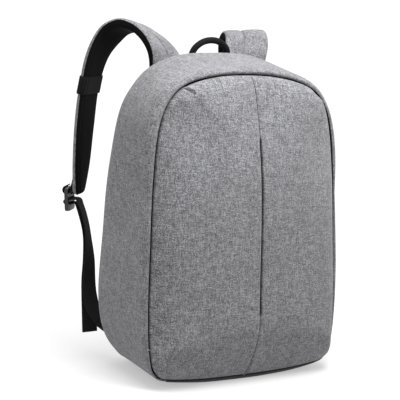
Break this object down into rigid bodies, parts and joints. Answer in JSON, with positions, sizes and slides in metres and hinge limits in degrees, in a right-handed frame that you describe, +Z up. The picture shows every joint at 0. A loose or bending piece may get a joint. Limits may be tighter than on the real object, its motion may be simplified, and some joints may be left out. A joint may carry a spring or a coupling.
{
  "type": "laptop backpack",
  "caption": "Grey heather laptop backpack with a domed split front panel, dark base, padded back, padded shoulder straps with ladder-lock buckles and a rolled carry handle.",
  "frame": {"origin": "on the floor under the middle of the bag, on the underside of the base panel", "axes": "+Z up, +X to the right seen from the front, +Y towards the wearer's back, so the domed front faces -Y"},
  "size_m": [0.3319, 0.2874, 0.4735],
  "materials": {
    "heather": "two-tone grey plain weave, matte",
    "base": "dark coated cloth, matte",
    "mesh": "black spacer mesh, matte",
    "webbing": "black woven tape, slightly satin",
    "zip": "black zip tape, matte",
    "plastic": "black moulded, satin"
  },
  "bodies": {
    "root": {"gusset": "heather", "base_panel": "base", "front_panel_left": "heather", "front_panel_right": "heather", "pocket_zip": "zip", "back_panel": "mesh", "main_zip": "zip", "carry_handle": "webbing", "strap_left_cover": "heather", "strap_left_padding": "mesh", "strap_left_keeper": "webbing", "buckle_left": "plastic", "buckle_loop_left": "webbing", "webbing_left": "webbing", "wing_tab_left": "webbing", "strap_right_cover": "heather", "strap_right_padding": "mesh", "strap_right_keeper": "webbing", "buckle_right": "plastic", "buckle_loop_right": "webbing", "webbing_right": "webbing", "wing_tab_right": "webbing"}
  },
  "joints": []
}
